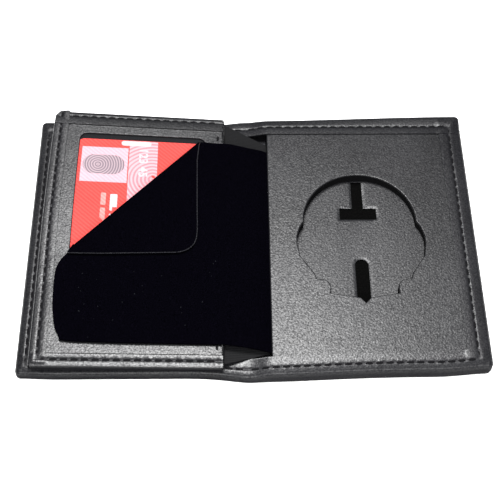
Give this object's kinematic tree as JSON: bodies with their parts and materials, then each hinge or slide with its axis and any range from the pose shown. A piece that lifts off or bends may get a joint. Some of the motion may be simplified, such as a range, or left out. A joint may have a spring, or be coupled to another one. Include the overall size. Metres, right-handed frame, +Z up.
{
  "type": "id badge wallet",
  "caption": "Folding leather badge and identity card wallet, with a recessed badge panel, a flip-up windowed card wing and a felt divider.",
  "frame": {"origin": "centre of the open wallet's footprint, on its underside", "axes": "+X to the right across both panels, +Y away from the front edge, +Z up from the underside"},
  "size_m": [0.172, 0.112, 0.0143],
  "materials": {
    "cover_leather": "pebbled, satin",
    "face_leather": "fine grain, satin",
    "lining_leather": "smooth, matt",
    "board": "matt fibre board",
    "lining": "woven, matt",
    "pad": "matt foam",
    "ribbed_band": "ribbed ribbon",
    "felt": "short pile, matt",
    "thread": "waxed thread",
    "window_film": "clear film",
    "card": "printed, glossy"
  },
  "bodies": {
    "back_panel": {"cover_back_leather": "cover_leather", "cover_back_board": "board", "cover_back_lining": "lining", "card_pocket_rear": "lining_leather", "card_pocket_middle": "lining_leather", "card_pocket_front": "lining_leather", "back_seam_thread": "thread"},
    "spine": {"spine_leather": "cover_leather", "spine_lining": "lining", "spine_seam_thread": "thread", "wing_hinge_band": "ribbed_band", "felt_root": "felt"},
    "badge_panel": {"cover_front_leather": "cover_leather", "front_board": "board", "clip_spacer": "board", "recess_floor_leather": "face_leather", "badge_pad": "pad", "badge_face_leather": "face_leather", "front_seam_thread": "thread"},
    "id_wing": {"wing_back_leather": "cover_leather", "wing_board": "board", "wing_window_film": "window_film", "wing_face_leather": "face_leather", "wing_seam_thread": "thread"},
    "id_card": {"id_card": "card"},
    "felt_flap": {"felt_flap": "felt"},
    "felt_corner": {"felt_corner": "felt"}
  },
  "joints": [
    {"name": "spine_fold", "type": "hinge", "parent": "back_panel", "child": "spine", "pos_m": [-0.011, 0, 0.0016], "axis": [0, -1, 0], "range_deg": [0, 90]},
    {"name": "badge_panel_fold", "type": "hinge", "parent": "spine", "child": "badge_panel", "pos_m": [0.006, 0, 0.0016], "axis": [0, -1, 0], "range_deg": [0, 87.5]},
    {"name": "wing_flip", "type": "hinge", "parent": "back_panel", "child": "id_wing", "pos_m": [-0.0113, 0, 0.01015], "axis": [0, -1, 0], "range_deg": [-177.5, 0], "deforming": ["wing_hinge_band"]},
    {"name": "flap_turn", "type": "hinge", "parent": "id_wing", "child": "felt_flap", "pos_m": [-0.0113, 0, 0.01015], "axis": [0, -1, 0], "range_deg": [-177.5, 0], "deforming": ["felt_root"]},
    {"name": "corner_fold", "type": "hinge", "parent": "felt_flap", "child": "felt_corner", "pos_m": [-0.02037, 0.0415, 0.0111], "axis": [-0.7064, -0.7071, 0.0308], "range_deg": [0, 176.5]},
    {"name": "card_slide", "type": "slide", "parent": "id_wing", "child": "id_card", "axis": [0, 1, 0], "range_m": [0, 0.09]}
  ],
  "couplings": [
    {"joint": "badge_panel_fold", "follows": "spine_fold", "ratio": 0.97222}
  ]
}
